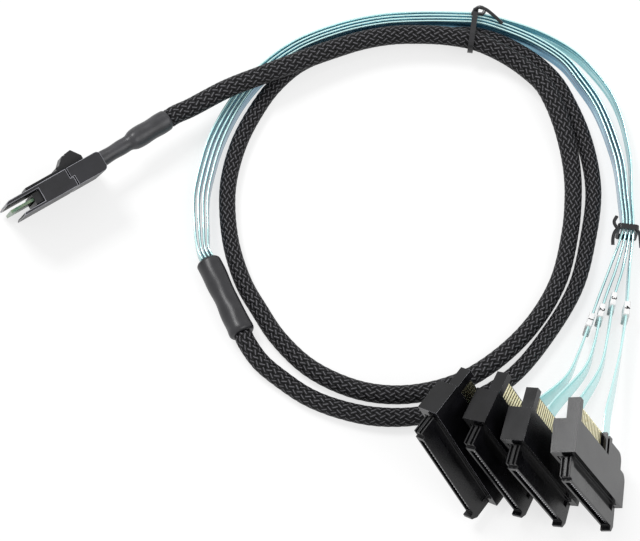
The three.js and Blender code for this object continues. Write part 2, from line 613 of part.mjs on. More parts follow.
RIBBON_TAILS.forEach((tail, i) => {
  const name = `ribbon_${i + 1}`;
  const points = [...offsetStack(i), ...tail.map(vector), ...ribbonEnds[i]];
  addPiece(group, name, sweep(flatSection(RIBBON_WIDTH, RIBBON_THICK), points, RIBBON_STEPS), "blueFoil");
  const at = vector(tail[LABEL_POINT]);
  const along = vector(tail[LABEL_POINT + 1]).sub(vector(tail[LABEL_POINT - 1])).normalize();
  const across = new THREE.Vector3(-along.y, along.x, 0).normalize();
  const up = along.clone().cross(across).normalize();
  const hole = 2 * FIT;
  const wall = hole + 2 * LABEL_WALL;
  const ring = flatSection(RIBBON_WIDTH + wall, RIBBON_THICK + wall);
  ring.holes.push(flatSection(RIBBON_WIDTH + hole, RIBBON_THICK + hole));
  const label = new THREE.ExtrudeGeometry(ring, { depth: LABEL_LENGTH, bevelEnabled: false });
  label.translate(0, 0, -LABEL_LENGTH / 2);
  const mesh = addPiece(group, `label_${i + 1}`, label, "whitePaper");
  mesh.setRotationFromMatrix(new THREE.Matrix4().makeBasis(up, across.clone().negate(), along));
  mesh.position.copy(at);
});

// Wire ties: a flat band round the bundle, its ends twisted together and bent over
function supportOf({ x, y, halfWidth, halfHeight, round }, nx, ny) {
  const reach = round
    ? Math.hypot(halfWidth * nx, halfHeight * ny)
    : Math.abs(halfWidth * nx) + Math.abs(halfHeight * ny);
  return x * nx + y * ny + reach;
}

function wrap(items, slack, sides = 24) {
  const lines = [];
  for (let i = 0; i <= sides; i += 1) {
    const angle = (2 * Math.PI * i) / sides;
    const nx = Math.cos(angle);
    const ny = Math.sin(angle);
    lines.push({ nx, ny, h: Math.max(...items.map((item) => supportOf(item, nx, ny))) + slack });
  }
  return outline(lines.slice(0, sides).map((a, i) => {
    const b = lines[i + 1];
    const det = a.nx * b.ny - b.nx * a.ny;
    return [(a.h * b.ny - b.h * a.ny) / det, (a.nx * b.h - b.nx * a.h) / det];
  }));
}

function wireTie({ at, heading, tails }, items) {
  const yaw = THREE.MathUtils.degToRad(heading);
  const along = new THREE.Vector3(Math.cos(yaw), Math.sin(yaw), 0);
  const outward = new THREE.Vector3(-along.y, along.x, 0);
  const basis = new THREE.Matrix4().makeBasis(outward, new THREE.Vector3(0, 0, 1), along);
  const ring = wrap(items, TIE_SLACK + TIE_THICK);
  ring.holes.push(wrap(items, TIE_SLACK));
  const band = new THREE.ExtrudeGeometry(ring, { depth: TIE_WIDTH, bevelEnabled: false });
  band.translate(0, 0, -TIE_WIDTH / 2);
  band.applyMatrix4(basis.setPosition(vector(at)));
  let solid = toSolid(band);
  const section = ovalSection(2 * TAIL_RADIUS, 2 * TAIL_RADIUS, 8);
  for (const tail of tails) solid = solid.add(toSolid(sweep(section, tail.map(vector), 4 * tail.length)));
  return toGeometry(solid);
}

const stackItem = {
  halfWidth: ((RIBBON_COUNT - 1) * RIBBON_PITCH + RIBBON_THICK) / 2,
  halfHeight: RIBBON_WIDTH / 2,
  round: false,
};
const sleeveItem = { halfWidth: SLEEVE_WIDTH / 2, halfHeight: SLEEVE_HEIGHT / 2, round: true };
const topItems = [
  { x: 0, y: 0, ...sleeveItem },
  { x: -0.82 * SLEEVE_WIDTH, y: 0.69 * SLEEVE_WIDTH, ...sleeveItem },
  { x: SLEEVE_WIDTH / 2 + FIT + stackItem.halfWidth, y: 0.1, ...stackItem },
];
addPiece(group, "wire_tie_top", wireTie(TOP_TIE, topItems), "blackRubber");
addPiece(group, "wire_tie_right", wireTie(RIGHT_TIE, [{ x: 0, y: 0, ...stackItem }]), "blackRubber");

group.position.copy(vector(ORIGIN_SHIFT));

export default group;
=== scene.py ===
# %% [markdown]
# A breakout cable, dressed for its photograph
#
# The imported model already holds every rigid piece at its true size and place, and a plain solid
# for each cord. This script gives them their looks: it rolls the cords out of flat grids, rounds
# the moulded edges, and builds a material for each finish from nodes. Everything is in metres.

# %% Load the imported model
import json
import math

import bmesh
import bpy
import numpy as np
from mathutils import Matrix, Vector


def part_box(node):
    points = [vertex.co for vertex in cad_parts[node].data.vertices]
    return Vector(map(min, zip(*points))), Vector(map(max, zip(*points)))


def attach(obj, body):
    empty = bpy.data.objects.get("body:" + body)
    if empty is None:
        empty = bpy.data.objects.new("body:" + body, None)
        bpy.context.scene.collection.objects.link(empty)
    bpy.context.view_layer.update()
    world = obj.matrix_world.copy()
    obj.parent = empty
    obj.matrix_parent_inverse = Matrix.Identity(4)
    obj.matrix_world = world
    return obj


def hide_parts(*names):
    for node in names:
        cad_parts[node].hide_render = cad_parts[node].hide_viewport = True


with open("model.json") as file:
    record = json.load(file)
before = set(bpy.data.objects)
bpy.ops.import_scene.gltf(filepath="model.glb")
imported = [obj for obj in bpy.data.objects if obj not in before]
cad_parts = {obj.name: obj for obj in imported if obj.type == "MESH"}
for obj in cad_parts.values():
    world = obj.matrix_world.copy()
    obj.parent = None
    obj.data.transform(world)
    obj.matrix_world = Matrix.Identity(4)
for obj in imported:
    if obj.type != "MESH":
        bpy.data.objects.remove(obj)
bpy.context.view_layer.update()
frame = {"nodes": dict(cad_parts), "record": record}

print("nodes in the frame:", len(frame["nodes"]))

# %% [markdown]
# Units and colours
#
# Sizes on a cable are easiest to read in millimetres, so one constant turns them into metres. A
# colour is written as the hex number that a colour picker shows, and one function turns it into
# the linear values that a shader works with.

# %% Units and colours
MM = 0.001


def srgb(code, alpha=1.0):
    """The linear colour of a hex number such as "3f93a8"."""
    shares = [int(code[i:i + 2], 16) / 255 for i in (0, 2, 4)]
    return [c / 12.92 if c <= 0.04045 else ((c + 0.055) / 1.055) ** 2.4 for c in shares] + [alpha]


# %% [markdown]
# The camera
#
# The photograph looks down steeply on a cable that lies flat, through a fairly long lens. The
# camera stands 620 mm from a point near the middle of the loop, 64.5 degrees above the horizon.
# Its lens gives 3.3 pixels to the millimetre there, in a picture 640 pixels wide.

# %% Camera
LOOK_AT = Vector((5.24, 24.02, 0)) * MM
CAMERA_DISTANCE = 620 * MM
CAMERA_RISE = math.radians(64.5)
IMAGE_WIDTH = 640
PIXELS_PER_METRE = 3300
SENSOR_WIDTH = 36
NEAREST = 10 * MM


def make_camera():
    data = bpy.data.cameras.new("camera")
    data.sensor_width = SENSOR_WIDTH
    data.lens = PIXELS_PER_METRE * CAMERA_DISTANCE / IMAGE_WIDTH * SENSOR_WIDTH
    data.clip_start = NEAREST
    camera = bpy.data.objects.new("camera", data)
    bpy.context.scene.collection.objects.link(camera)
    back = Vector((0, -math.cos(CAMERA_RISE), math.sin(CAMERA_RISE)))
    camera.location = LOOK_AT + back * CAMERA_DISTANCE
    camera.rotation_euler = (math.pi / 2 - CAMERA_RISE, 0, 0)
    bpy.context.scene.camera = camera
    print("lens in mm:", round(data.lens, 1))


make_camera()

# %% [markdown]
# A helper for node materials
#
# A material is a small graph. One function adds a node, sets its properties and its inputs, and
# links an input wherever it is given another node or a node's output instead of a value. Where
# it is given a node, it takes that node's first output.

# %% Node helper
MATHS = "ShaderNodeMath"
RAMP = "ShaderNodeValToRGB"
NOISE = "ShaderNodeTexNoise"


def add_node(tree, kind, settings=None, *values, stops=(), **named):
    """Adds a node, with inputs in order, by name, or as in_6 by number.

    stops are the (place, hex colour) pairs of a colour ramp.
    """
    node = tree.nodes.new(kind)
    for name, value in (settings or {}).items():
        setattr(node, name, value)
    keyed = [(int(name[3:]) if name.startswith("in_") else name.replace("_", " "), value)
             for name, value in named.items()]
    for key, value in [*enumerate(values), *keyed]:
        if isinstance(value, bpy.types.Node):
            value = value.outputs[0]
        if isinstance(value, bpy.types.NodeSocket):
            tree.links.new(value, node.inputs[key])
        else:
            node.inputs[key].default_value = value
    for _ in stops[2:]:
        node.color_ramp.elements.new(0.5)
    for element, (place, code) in zip(node.color_ramp.elements if stops else (), stops):
        element.position = place
        element.color = srgb(code)
    return node


def new_material(name, **looks):
    """A material, its tree and its Principled shader, whose own sockets are set to the looks."""
    material = bpy.data.materials.new(name)
    material.use_nodes = True
    tree = material.node_tree
    tree.nodes.clear()
    shader = add_node(tree, "ShaderNodeBsdfPrincipled", **looks)
    add_node(tree, "ShaderNodeOutputMaterial", Surface=shader)
    return material, tree, shader


# %% [markdown]
# Finishes that wander between two colours
#
# No real surface has one flat colour. The plain finishes here all begin with soft patches of
# noise that lead from a darker colour to a lighter one. The noise reads Object coordinates, which
# are in metres, so patches of 6 mm need a scale of 1 / 6 mm.

# %% Mottled finishes
NARROW = 0.15
WIDE = 0.2


def mottled_material(name, patch, dark, light, spread=NARROW, **looks):
    """A new material in patches of that size, with its coordinates and the patches themselves."""
    material, tree, shader = new_material(name, **looks)
    where = add_node(tree, "ShaderNodeTexCoord").outputs["Object"]
    patches = add_node(tree, NOISE, Vector=where, Scale=1 / patch, Detail=3.0)
    stops = [(0.5 - spread, dark), (0.5 + spread, light)]
    colour = add_node(tree, RAMP, None, patches, stops=stops)
    tree.links.new(colour.outputs["Color"], shader.inputs["Base Color"])
    return material, tree, shader, where, patches


# %% [markdown]
# Moulded plastics
#
# The host plug is moulded in a matt dark nylon and the receptacles in a glossier black polyester.
# Both have the fine grain of a spark-eroded mould, which softens the highlight, and slightly
# uneven gloss where the plastic cooled at different speeds. The bevelled edges get a paler
# material of their own, a painted highlight where the edges catch the light.

# %% Moulded plastics
MOULD_PATCH = 6 * MM
MOULD_GRIT = 0.25 * MM
MOULD_RELIEF = 0.012 * MM
GLOSS_WANDER = 0.16


def moulded_plastic(name, dark, light, roughness, sheen=0.3):
    """A solid plastic whose colour and gloss wander a little, with a fine moulded grain."""
    material, tree, shader, where, patches = mottled_material(
        name, MOULD_PATCH, dark, light, IOR=1.5, Specular_IOR_Level=sheen)
    gloss = add_node(tree, MATHS, {"operation": "MULTIPLY_ADD"},
                     patches, GLOSS_WANDER, roughness - GLOSS_WANDER / 2)
    tree.links.new(gloss.outputs[0], shader.inputs["Roughness"])
    grit = add_node(tree, NOISE, Vector=where, Scale=1 / MOULD_GRIT, Detail=2.0)
    relief = add_node(tree, "ShaderNodeBump", Height=grit, Distance=MOULD_RELIEF, Strength=1.0)
    tree.links.new(relief.outputs["Normal"], shader.inputs["Normal"])
    return material


PLUG_NYLON = moulded_plastic("plug_nylon_moulded", "1c1c1f", "27272b", 0.46)
LATCH_NYLON = moulded_plastic("latch_nylon_moulded", "151517", "1c1c1f", 0.42)
CONNECTOR_BLACK = moulded_plastic("receptacle_polyester_moulded", "0a0a0c", "121215", 0.22, 0.36)
# A pale grey for the bevels of the cases: a painted highlight along the moulded edges.
PAINTED_EDGE_HIGHLIGHT = moulded_plastic("moulded_edge_painted_highlight", "85858c", "a6a6ad", 0.25)
SLOT_BLACK = moulded_plastic("receptacle_insert_moulded", "08080a", "101013", 0.25, 0.36)

# %% [markdown]
# Metals and the small boards
#
# Contacts are stamped strip: gold on the power tongue, tin in the slot. The boards are glass
# epoxy under green solder resist. Metals keep the default IOR, and only their colour and
# roughness say which metal they are.

# %% Metals and boards
STRIP_PATCH = 0.8 * MM
STRIP_RELIEF = 0.01 * MM
WEAVE_PATCH = 1.5 * MM


def plated_metal(name, dark, light, roughness):
    """Rolled strip, with faint unevenness."""
    material, tree, shader, _, patches = mottled_material(
        name, STRIP_PATCH, dark, light, WIDE, Metallic=1.0, Roughness=roughness)
    relief = add_node(tree, "ShaderNodeBump", Height=patches, Distance=STRIP_RELIEF, Strength=1.0)
    tree.links.new(relief.outputs["Normal"], shader.inputs["Normal"])
    return material


GOLD_PLATE = plated_metal("power_contact_gold_plated", "d6cc9c", "f2edcc", 0.26)
TINNED_STRIP = plated_metal("slot_contact_tinned", "b4b4b8", "dcdce0", 0.3)
BOARD = mottled_material("board_solder_resist", WEAVE_PATCH, "4c8468", "93ac86",
                         Roughness=0.3, IOR=1.55)[0]

# %% [markdown]
# Shrink tube, tie wire and labels
#
# Polyolefin shrink tube has a satin skin with soft uneven patches. Tie wire is a steel core in
# soft vinyl, smooth and a little glossier. The labels are white film, with digits in black ink.

# %% Shrink tube, tie wire and labels
SKIN_PATCH = 4 * MM
SKIN_GRIT = 0.6 * MM
SKIN_RELIEF = 0.02 * MM


def soft_skin(name, dark, light, roughness):
    """A drawn or shrunk plastic film: satin, with soft patches and a fine skin."""
    material, tree, shader, where, _ = mottled_material(
        name, SKIN_PATCH, dark, light, Roughness=roughness, IOR=1.48)
    grit = add_node(tree, NOISE, Vector=where, Scale=1 / SKIN_GRIT, Detail=3.0)
    relief = add_node(tree, "ShaderNodeBump", Height=grit, Distance=SKIN_RELIEF, Strength=1.0)
    tree.links.new(relief.outputs["Normal"], shader.inputs["Normal"])
    return material


BOOT_SKIN = soft_skin("boot_polyolefin_shrunk", "2e2e31", "3c3c40", 0.36)
BREAKOUT_SKIN = soft_skin("breakout_polyolefin_shrunk", "1f1f22", "2b2b2e", 0.36)
TIE_VINYL = soft_skin("tie_wire_vinyl", "101012", "1a1a1d", 0.3)
LABEL_FILM = soft_skin("label_film_printed", "f2f2f2", "ffffff", 0.5)
DIGIT_INK = soft_skin("label_digit_ink", "101012", "1a1a1c", 0.5)

# %% [markdown]
# The braided sleeve's finish
#
# Expandable sleeve is braided from polyester filaments, laid in flat strands of three, and each
# strand goes over one other and under the next. The pattern follows the tube, so it reads a UV
# map counted in strands: adding and taking away the two coordinates gives the two families of
# strands, and the whole numbers in them say which family lies on top. A strand is about 1.7 mm
# wide and 2.8 mm long here, coarser than the real one, so that it shows at this distance.

# %% Braided sleeve finish
STRANDS = 10
STRAND_LENGTH = 2.8 * MM
FILAMENTS = 3
CROWN_SHARE = 0.7
FILAMENT_RELIEF = 0.22 * MM
# The near-black braid is painted darker in its grooves, as painted shade, and paler on the strand
# crowns, as painted glints.
BRAID_PAINTED_SHADE_AND_GLINTS = [(0.25, "010101"), (0.58, "09090a"), (0.8, "262628"), (0.98, "6c6b6f")]


def braid_finish():
    """Two families of strands, one over one, with a crown and filaments on each strand, and painted
    shade and glints by height.
    """
    material, tree, shader = new_material("sleeve_polyester_braided", Roughness=0.42, IOR=1.57,
                                          Specular_IOR_Level=0.1)
    where = add_node(tree, "ShaderNodeUVMap", {"uv_map": "along_and_round"})
    along, round_it = add_node(tree, "ShaderNodeSeparateXYZ", None, where).outputs[:2]
    right = add_node(tree, MATHS, {"operation": "ADD"}, round_it, along)
    left = add_node(tree, MATHS, {"operation": "SUBTRACT"}, round_it, along)
    right_number = add_node(tree, MATHS, {"operation": "FLOOR"}, right)
    left_number = add_node(tree, MATHS, {"operation": "FLOOR"}, left)
    numbers = add_node(tree, MATHS, {"operation": "ADD"}, right_number, left_number)
    turn = add_node(tree, MATHS, {"operation": "FLOORED_MODULO"}, numbers, 2.0)
    right_on_top = add_node(tree, MATHS, {"operation": "LESS_THAN"}, turn, 0.5)
    across_right = add_node(tree, MATHS, {"operation": "FRACT"}, right)
    across_left = add_node(tree, MATHS, {"operation": "FRACT"}, left)
    across = add_node(tree, "ShaderNodeMix", {"data_type": "FLOAT"},
                      Factor=right_on_top, A=across_left, B=across_right)
    centred = add_node(tree, MATHS, {"operation": "MULTIPLY_ADD"}, across, 2.0, -1.0)
    squared = add_node(tree, MATHS, {"operation": "MULTIPLY"}, centred, centred)
    crown = add_node(tree, MATHS, {"operation": "SUBTRACT"}, 1.0, squared)
    angle = add_node(tree, MATHS, {"operation": "MULTIPLY"}, across, FILAMENTS * math.pi)
    wave = add_node(tree, MATHS, {"operation": "SINE"}, angle)
    rounds = add_node(tree, MATHS, {"operation": "ABSOLUTE"}, wave)
    crowned = add_node(tree, MATHS, {"operation": "MULTIPLY"}, crown, CROWN_SHARE)
    height = add_node(tree, MATHS, {"operation": "MULTIPLY_ADD"}, rounds, 1 - CROWN_SHARE, crowned)
    # Colour by height: painted shade in the grooves, painted glints on the crowns.
    colour = add_node(tree, RAMP, None, height, stops=BRAID_PAINTED_SHADE_AND_GLINTS)
    tree.links.new(colour.outputs["Color"], shader.inputs["Base Color"])
    relief = add_node(tree, "ShaderNodeBump", Height=height, Distance=FILAMENT_RELIEF, Strength=1.0)
    tree.links.new(relief.outputs["Normal"], shader.inputs["Normal"])
    return material


BRAID = braid_finish()

# %% [markdown]
# The ribbons' finish
#
# Each ribbon is a row of foil-wrapped wires between two clear blue films. The foil mirrors the
# light and the film tints it, so the shader is half a blue metal, under a clear coat. Fine
# streaks run lengthwise, because the foil is wound on and creases along the wires. The bare film
# along both edges is pale. From the second tie on, where the ribbon turns its broad side to the
# light, its colour is painted nearly white: a painted sheen. The UV map says how far round the
# section and how many millimetres along.

# %% Ribbon finish
STREAK_SCALE = (0.06, 26.0, 1.0)
STREAK_RELIEF = 0.05 * MM
EDGE_FADE = (0.7, 0.95)
# Over these millimetres along, the foil fades into a painted sheen, nearly white, where the ribbon
# turns its broad side to the light.
PAINTED_SHEEN_STRETCH = (255.0, 278.0)
PAINTED_SHEEN_SHARE = 0.95
# One pale colour for the bare film at the edges and for the painted sheen.
PALE_FILM_AND_SHEEN = "d2faf9"


def foil_ribbon(name, dark, middle, light):
    """Streaked blue foil, with pale film at both edges and a painted sheen, nearly white, over its
    last length.
    """
    material, tree, shader = new_material(name, Metallic=0.55, Roughness=0.24, Coat_Weight=0.6,
                                          Coat_Roughness=0.08)
    where = add_node(tree, "ShaderNodeUVMap", {"uv_map": "along_and_round"})
    along, round_it = add_node(tree, "ShaderNodeSeparateXYZ", None, where).outputs[:2]
    stretched = add_node(tree, "ShaderNodeMapping", Vector=where, Scale=STREAK_SCALE)
    streaks = add_node(tree, NOISE, Vector=stretched, Scale=1.0, Detail=2.0)
    foil = add_node(tree, RAMP, None, streaks, stops=[(0.3, dark), (0.5, middle), (0.7, light)])
    angle = add_node(tree, MATHS, {"operation": "MULTIPLY"}, round_it, 2 * math.pi)
    sideways = add_node(tree, MATHS, {"operation": "COSINE"}, angle)
    outwards = add_node(tree, MATHS, {"operation": "ABSOLUTE"}, sideways)
    edge, stretch = (add_node(tree, "ShaderNodeMapRange", {"interpolation_type": "SMOOTHSTEP"},
                              value, *limits)
                     for value, limits in ((outwards, EDGE_FADE), (along, PAINTED_SHEEN_STRETCH)))
    # The last length of ribbon is painted nearly white, a painted sheen.
    stretch = add_node(tree, MATHS, {"operation": "MULTIPLY"}, stretch, PAINTED_SHEEN_SHARE)
    pale = add_node(tree, MATHS, {"operation": "MAXIMUM"}, edge, stretch)
    colour = add_node(tree, "ShaderNodeMix", {"data_type": "RGBA"},
                      pale, in_6=foil, in_7=srgb(PALE_FILM_AND_SHEEN))
    tree.links.new(colour.outputs[2], shader.inputs["Base Color"])
    relief = add_node(tree, "ShaderNodeBump", Height=streaks, Distance=STREAK_RELIEF, Strength=1.0)
    tree.links.new(relief.outputs["Normal"], shader.inputs["Normal"])
    return material


FOILS = [
    foil_ribbon("ribbon_foil_deep_blue", "174a66", "3f8fb5", "8fd6ea"),
    foil_ribbon("ribbon_foil_teal", "1b5668", "4aa0b4", "9fe2ea"),
    foil_ribbon("ribbon_foil_blue", "1a5070", "4a9fc4", "98dcee"),
    foil_ribbon("ribbon_foil_pale", "3d9298", "86d4d8", "c8f4f4"),
]

# %% [markdown]
# Floor, lamps and world
#
# The cable lies on a plain white sheet in flat, even light. The floor is a pale matt surface that
# also glows a little to rays from the camera, a mirror or glass, so that it shows white and still
# takes the cable's soft shadow. The world is brighter to those rays too.

# %% Floor, lamps and world
FLOOR_SIZE = 6.0
FLOOR_PAINT = "9a9a9a"
FLOOR_GLOW = 0.72
SKY_LEVEL = 0.5
LAMPS = [("key", (-0.5, 0.5, 1.0), 0.4, 7.0), ("fill", (0.7, -0.5, 0.9), 0.8, 4.5)]


def seen_directly(tree):
    """1 for camera, mirror and glass rays, and 0 for light that bounces off matt things."""
    path = add_node(tree, "ShaderNodeLightPath").outputs
    seen = add_node(tree, MATHS, {"operation": "ADD"}, path["Is Camera Ray"], path["Is Glossy Ray"])
    return add_node(tree, MATHS, {"operation": "ADD", "use_clamp": True},
                    seen, path["Is Transmission Ray"])


def make_floor():
    bm = bmesh.new()
    bmesh.ops.create_grid(bm, x_segments=1, y_segments=1, size=FLOOR_SIZE / 2)
    mesh = bpy.data.meshes.new("floor")
    bm.to_mesh(mesh)
    bm.free()
    floor = bpy.data.objects.new("floor", mesh)
    bpy.context.scene.collection.objects.link(floor)
    material = bpy.data.materials.new("floor_white_paper")
    material.use_nodes = True
    tree = material.node_tree
    tree.nodes.clear()
    paint = add_node(tree, "ShaderNodeBsdfDiffuse", Color=srgb(FLOOR_PAINT))
    level = add_node(tree, MATHS, {"operation": "MULTIPLY"}, seen_directly(tree), FLOOR_GLOW)
    glow = add_node(tree, "ShaderNodeEmission", Color=srgb("ffffff"), Strength=level)
    both = add_node(tree, "ShaderNodeAddShader", None, paint, glow)
    add_node(tree, "ShaderNodeOutputMaterial", Surface=both)
    mesh.materials.append(material)


def make_world():
    world = bpy.data.worlds.new("studio")
    bpy.context.scene.world = world
    world.use_nodes = True
    tree = world.node_tree
    tree.nodes.clear()
    level = add_node(tree, MATHS, {"operation": "MULTIPLY_ADD"},
                     seen_directly(tree), 1 - SKY_LEVEL, SKY_LEVEL)
    sky = add_node(tree, "ShaderNodeBackground", Color=srgb("ffffff"), Strength=level)
    add_node(tree, "ShaderNodeOutputWorld", Surface=sky)


def soft_lamp(name, place, size, power):
    """A square area lamp that looks at the middle of the cable."""
    data = bpy.data.lights.new(name, "AREA")
    data.size = size
    data.energy = power
    lamp = bpy.data.objects.new(name, data)
    bpy.context.scene.collection.objects.link(lamp)
    lamp.location = place
    lamp.rotation_euler = (LOOK_AT - Vector(place)).to_track_quat("-Z", "Y").to_euler()


make_floor()
make_world()
for lamp in LAMPS:
    soft_lamp(*lamp)
bpy.context.scene.view_settings.view_transform = "Standard"
print("materials:", len(bpy.data.materials), "lamps:", len(bpy.data.lights))

# %% [markdown]
# A smooth line through chosen points
#
# The routes of the cords are lists of given points, the same ones as in the model's source. A
# centripetal Catmull-Rom curve goes through all of them without loops or overshoot. It is then
# measured and cut into equal steps, because a pattern that is laid on it has to keep its scale.

# %% Smooth lines
ORIGIN_SHIFT = Vector((0.002243, -0.000984, 0))
FINE_STEPS = 24


def smooth_line(points):
    """Many points along the centripetal Catmull-Rom curve through these."""
    p = [Vector(q) for q in points]
    p = [2 * p[0] - p[1], *p, 2 * p[-1] - p[-2]]
    line = []
    for a, b, c, d in zip(p, p[1:], p[2:], p[3:]):
        ab, bc, cd = (math.sqrt((y - x).length) for x, y in ((a, b), (b, c), (c, d)))
        start = ((b - a) / ab - (c - a) / (ab + bc) + (c - b) / bc) * bc
        end = ((c - b) / bc - (d - b) / (bc + cd) + (d - c) / cd) * bc
        for i in range(FINE_STEPS):
            t = i / FINE_STEPS
            line.append((2 * t ** 3 - 3 * t ** 2 + 1) * b + (t ** 3 - 2 * t ** 2 + t) * start
                        + (3 * t ** 2 - 2 * t ** 3) * c + (t ** 3 - t ** 2) * end)
    return np.array([*line, p[-2]])


def even_steps(points, step):
    """The line in equal steps, and the distance along it at each."""
    reach = np.concatenate([[0], np.cumsum(np.linalg.norm(np.diff(points, axis=0), axis=1))])
    count = max(2, round(reach[-1] / step))
    at = np.linspace(0, reach[-1], count + 1)
    return np.stack([np.interp(at, reach, points[:, i]) for i in range(3)], axis=1), at


# %% [markdown]
# Rolling a grid round a line
#
# A cord is a skin round a line. The easiest way to get one with a clean UV map is to start from
# a flat grid, roll each of its columns into a ring round the line, and weld the seam. The shape
# of a ring comes from a function, so the same roller makes the braided sleeve, the shrink tubes
# and the ribbons.

# %% The roller
WELD_DISTANCE = 1e-7


def link_piece(name, bm, material, body="cable"):
    """Makes the mesh an object at the origin that rides on a body."""
    mesh = bpy.data.meshes.new(name)
    bm.to_mesh(mesh)
    bm.free()
    mesh.materials.append(material)
    piece = bpy.data.objects.new(name, mesh)
    bpy.context.scene.collection.objects.link(piece)
    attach(piece, body)
    return piece


def roll(name, centres, reach, ring, sides, material, uv_scale=(1.0, 1.0)):
    """A closed skin round a line.

    ring(distance, angle) gives, as arrays, how far sideways and how far up the skin lies from
    the line. The grid's columns go along the line and its rows go round it. uv_scale turns
    metres along, and turns round, into the units of the pattern that lies on the skin.
    """
    bm = bmesh.new()
    bmesh.ops.create_grid(bm, x_segments=len(centres) - 1, y_segments=sides, size=1)
    uv = bm.loops.layers.uv.new("along_and_round")
    column = np.array([round((v.co.x + 1) / 2 * (len(centres) - 1)) for v in bm.verts])
    row = np.array([round((v.co.y + 1) / 2 * sides) for v in bm.verts])
    ahead = np.gradient(centres, axis=0)
    ahead /= np.linalg.norm(ahead, axis=1)[:, None]
    side = np.cross(ahead, [0, 0, 1])
    side /= np.linalg.norm(side, axis=1)[:, None]
    up = np.cross(side, ahead)
    angle = 2 * math.pi * row / sides
    sideways, upwards = ring(reach[column], angle)
    places = centres[column] + side[column] * sideways[:, None] + up[column] * upwards[:, None]
    for vertex, place in zip(bm.verts, places):
        vertex.co = place
    for face in bm.faces:
        for loop in face.loops:
            i = loop.vert.index
            loop[uv].uv = (reach[column[i]] * uv_scale[0], row[i] / sides * uv_scale[1])
        face.smooth = True
    bmesh.ops.remove_doubles(bm, verts=bm.verts, dist=WELD_DISTANCE)
    rims = [e for e in bm.edges if e.is_boundary]
    bmesh.ops.holes_fill(bm, edges=rims, sides=0)
    bmesh.ops.recalc_face_normals(bm, faces=bm.faces)
    piece = link_piece(name, bm, material)
    print(name, "length mm", round(reach[-1] / MM, 1), "faces", len(piece.data.polygons))
    return piece


# %% [markdown]
# The sleeve
#
# The sleeve leaves the plug's boot, crosses over the ribbons and lies twice round the loop, the
# second time under its own first turn. Braid over a loose bundle is never quite round: it is a
# little wider than it is high, and swells and narrows along its way. The strands stand out of
# the skin by a tenth of a millimetre, as true relief, and the material adds the filaments.
# Where the sleeve is thinner than its solid, it sinks by half the difference, so that it still
# lies on the floor.

# %% Sleeve
BOOT_START = Vector((-0.0648, 0.0558, 0.0121)) + ORIGIN_SHIFT
BOOT_END = Vector((-0.0439, 0.0718, 0.0103)) + ORIGIN_SHIFT
SHRINK_START = Vector((-0.0199, 0.0021, 0.0043)) + ORIGIN_SHIFT
SHRINK_END = Vector((-0.0307, 0.0259, 0.0044)) + ORIGIN_SHIFT
FIT = 0.3 * MM
LEAD = 3 * MM

SLEEVE_ROUTE = [
    (-0.0375, 0.0758, 0.0099), (-0.026, 0.0829, 0.0098), (-0.0145, 0.0882, 0.0097),
    (-0.0033, 0.0938, 0.0086), (0.0065, 0.0982, 0.008), (0.0159, 0.1016, 0.0079),
    (0.0251, 0.1035, 0.0079), (0.0346, 0.1039, 0.0079), (0.0438, 0.1032, 0.008),
    (0.0523, 0.1015, 0.0076), (0.0608, 0.0978, 0.0064), (0.0673, 0.0931, 0.0058),
    (0.0729, 0.087, 0.0058), (0.0759, 0.0806, 0.0056), (0.078, 0.0742, 0.005),
    (0.0794, 0.0682, 0.0043), (0.0805, 0.0615, 0.0032), (0.0809, 0.0546, 0.0027),
    (0.0806, 0.0477, 0.0027), (0.0793, 0.0375, 0.0027), (0.0748, 0.0205, 0.0027),
    (0.0665, 0.0062, 0.0027), (0.0556, -0.0051, 0.0027), (0.0442, -0.0125, 0.0027),
    (0.0314, -0.0162, 0.0027), (0.0207, -0.0164, 0.0027), (0.0109, -0.014, 0.0027),
    (-0.0003, -0.0079, 0.0027), (-0.0095, 0.0016, 0.0027), (-0.0153, 0.0109, 0.0027),
    (-0.0198, 0.0192, 0.0027), (-0.0236, 0.031, 0.0027), (-0.0253, 0.0434, 0.0027),
    (-0.0251, 0.0546, 0.0027), (-0.0218, 0.0687, 0.0027), (-0.0151, 0.0827, 0.0027),
    (-0.0106, 0.0892, 0.0027), (-0.0046, 0.0953, 0.0027), (0.002, 0.0993, 0.0027),
    (0.0094, 0.1025, 0.0027), (0.0177, 0.1051, 0.0027), (0.0263, 0.1065, 0.0027),
    (0.0349, 0.1067, 0.0027), (0.0435, 0.1065, 0.0032), (0.0515, 0.1061, 0.0039),
    (0.0594, 0.1041, 0.0033), (0.0653, 0.1012, 0.0027), (0.0714, 0.0965, 0.0027),
    (0.0772, 0.0895, 0.0027), (0.0814, 0.0802, 0.0027), (0.0844, 0.0712, 0.0027),
    (0.0862, 0.0626, 0.0027), (0.087, 0.0546, 0.0027), (0.0868, 0.0477, 0.0027),
    (0.0849, 0.0365, 0.0027), (0.0801, 0.0189, 0.0027), (0.0708, 0.0029, 0.0027),
    (0.0594, -0.0108, 0.0027), (0.0463, -0.019, 0.0027), (0.0319, -0.0232, 0.0027),
    (0.0196, -0.0235, 0.0027), (0.0085, -0.0211, 0.0027), (-0.0005, -0.0173, 0.0027),
    (-0.0078, -0.0122, 0.0028), (-0.0145, -0.0065, 0.0034),
]
SLEEVE_SIDES = 60
SLEEVE_STEP = 0.5 * MM
SLEEVE_WIDTH = 5.4 * MM
WIDTH_STATIONS = (0, 0.08, 0.13, 0.18, 0.26, 0.33, 0.4, 0.47, 0.54, 0.6, 0.65, 0.71)
WIDTHS = np.array((5.7, 6.0, 5.7, 5.1, 5.5, 5.2, 4.8, 5.3, 4.9, 4.6, 5.5, 5.6)) * MM
STRAND_RELIEF = 0.12 * MM
SWELLS = ((0.025, 0.019, 0), (0.015, 0.0073, 1))
FLATNESS = 0.97
FLATNESS_SHIFT = 0.3


def on_route(points):
    return [Vector(p) + ORIGIN_SHIFT for p in points]


